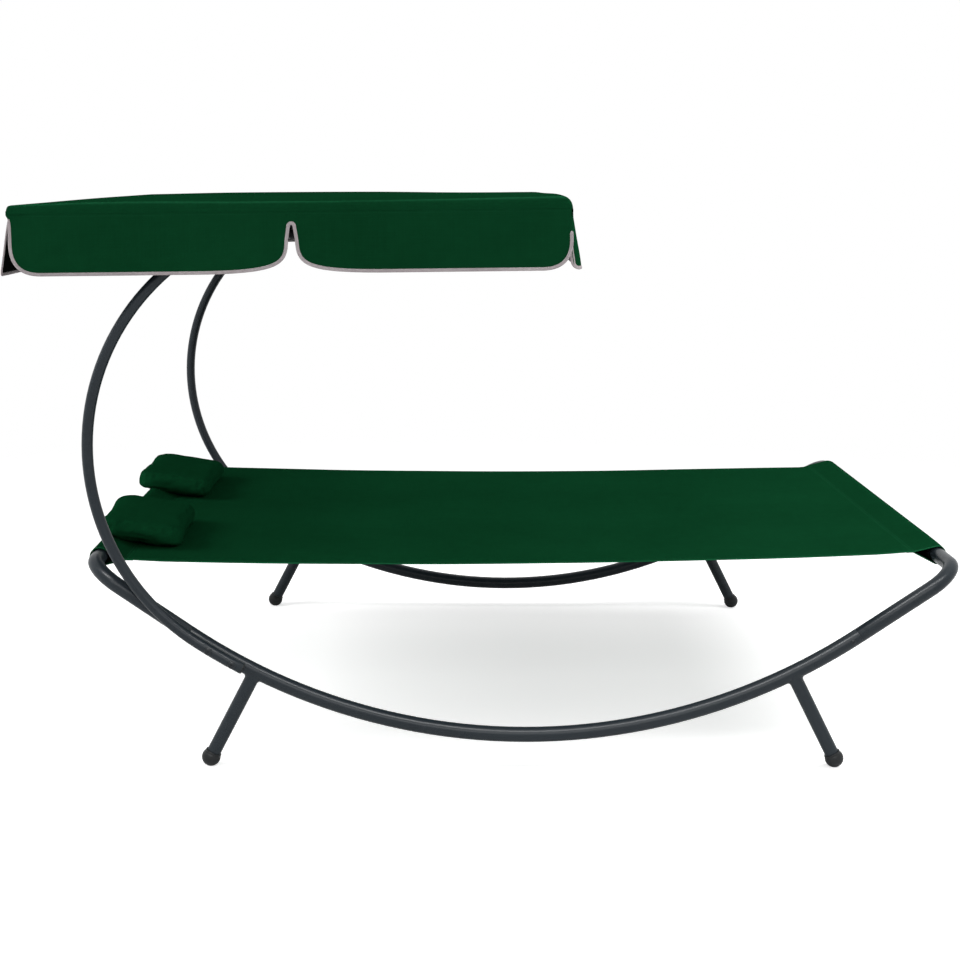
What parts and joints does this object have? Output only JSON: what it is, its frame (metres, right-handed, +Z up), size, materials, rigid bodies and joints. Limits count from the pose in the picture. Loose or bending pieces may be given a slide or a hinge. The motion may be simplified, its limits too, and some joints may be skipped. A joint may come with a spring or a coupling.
{
  "type": "sun lounger with canopy",
  "caption": "Wide sun lounger: slung cloth bed on curved tube side rails with ball feet, loose pillows, and a tilting cloth canopy with scalloped, bound valances on curved posts.",
  "frame": {"origin": "middle of the whole lounger's bounding box, on the floor under the feet", "axes": "+X runs from the head end to the foot end, +Y is the left side of a person lying on it, +Z is up"},
  "size_m": [2.1284, 1.7506, 1.2954],
  "materials": {
    "frame_paint": "satin dark grey paint",
    "black_plastic": "matt moulded black",
    "fastener_steel": "dark zinc",
    "green_cloth": "matt dark green woven cloth",
    "grey_binding": "light grey woven tape"
  },
  "bodies": {
    "frame": {"right_side_rail": "frame_paint", "right_canopy_post": "frame_paint", "right_post_collar": "frame_paint", "right_lower_post_bolt": "fastener_steel", "right_lower_post_nut": "fastener_steel", "right_upper_post_bolt": "fastener_steel", "right_upper_post_nut": "fastener_steel", "head_right_leg": "frame_paint", "head_right_rail_sleeve": "frame_paint", "head_right_ball_foot": "black_plastic", "head_right_rail_screw": "fastener_steel", "foot_right_leg": "frame_paint", "foot_right_rail_sleeve": "frame_paint", "foot_right_ball_foot": "black_plastic", "foot_right_rail_screw": "fastener_steel", "left_side_rail": "frame_paint", "left_canopy_post": "frame_paint", "left_post_collar": "frame_paint", "left_lower_post_bolt": "fastener_steel", "left_lower_post_nut": "fastener_steel", "left_upper_post_bolt": "fastener_steel", "left_upper_post_nut": "fastener_steel", "head_left_leg": "frame_paint", "head_left_rail_sleeve": "frame_paint", "head_left_ball_foot": "black_plastic", "head_left_rail_screw": "fastener_steel", "foot_left_leg": "frame_paint", "foot_left_rail_sleeve": "frame_paint", "foot_left_ball_foot": "black_plastic", "foot_left_rail_screw": "fastener_steel", "head_end_tube": "frame_paint", "foot_end_tube": "frame_paint", "bed_cloth": "green_cloth"},
    "canopy": {"canopy_pivot_tube": "frame_paint", "canopy_right_tube": "frame_paint", "canopy_right_bolt": "fastener_steel", "canopy_left_tube": "frame_paint", "canopy_left_bolt": "fastener_steel", "canopy_head_tube": "frame_paint", "canopy_head_right_sleeve": "frame_paint", "canopy_head_left_sleeve": "frame_paint", "canopy_foot_tube": "frame_paint", "canopy_foot_right_sleeve": "frame_paint", "canopy_foot_left_sleeve": "frame_paint", "canopy_cover": "green_cloth", "right_valance": "green_cloth", "right_valance_binding": "grey_binding", "left_valance": "green_cloth", "left_valance_binding": "grey_binding", "head_valance": "green_cloth", "head_valance_binding": "grey_binding", "foot_valance": "green_cloth", "foot_valance_binding": "grey_binding"},
    "right_knob": {"right_tilt_knob": "black_plastic"},
    "left_knob": {"left_tilt_knob": "black_plastic"},
    "right_pillow": {"right_pillow": "green_cloth"},
    "left_pillow": {"left_pillow": "green_cloth"}
  },
  "joints": [
    {"name": "canopy_tilt", "type": "hinge", "parent": "frame", "child": "canopy", "pos_m": [-0.4518, 0, 1.2516], "axis": [0, 1, 0], "range_deg": [-15, 15]},
    {"name": "right_knob_turn", "type": "hinge", "parent": "frame", "child": "right_knob", "pos_m": [-0.4518, -0.7803, 1.2516], "axis": [0, 0, 1], "continuous": true},
    {"name": "left_knob_turn", "type": "hinge", "parent": "frame", "child": "left_knob", "pos_m": [-0.4518, 0.7803, 1.2516], "axis": [0, 0, 1], "continuous": true},
    {"name": "right_pillow_lift", "type": "slide", "parent": "frame", "child": "right_pillow", "axis": [0, 0, 1], "range_m": [0, 0.3]},
    {"name": "left_pillow_lift", "type": "slide", "parent": "frame", "child": "left_pillow", "axis": [0, 0, 1], "range_m": [0, 0.3]}
  ]
}
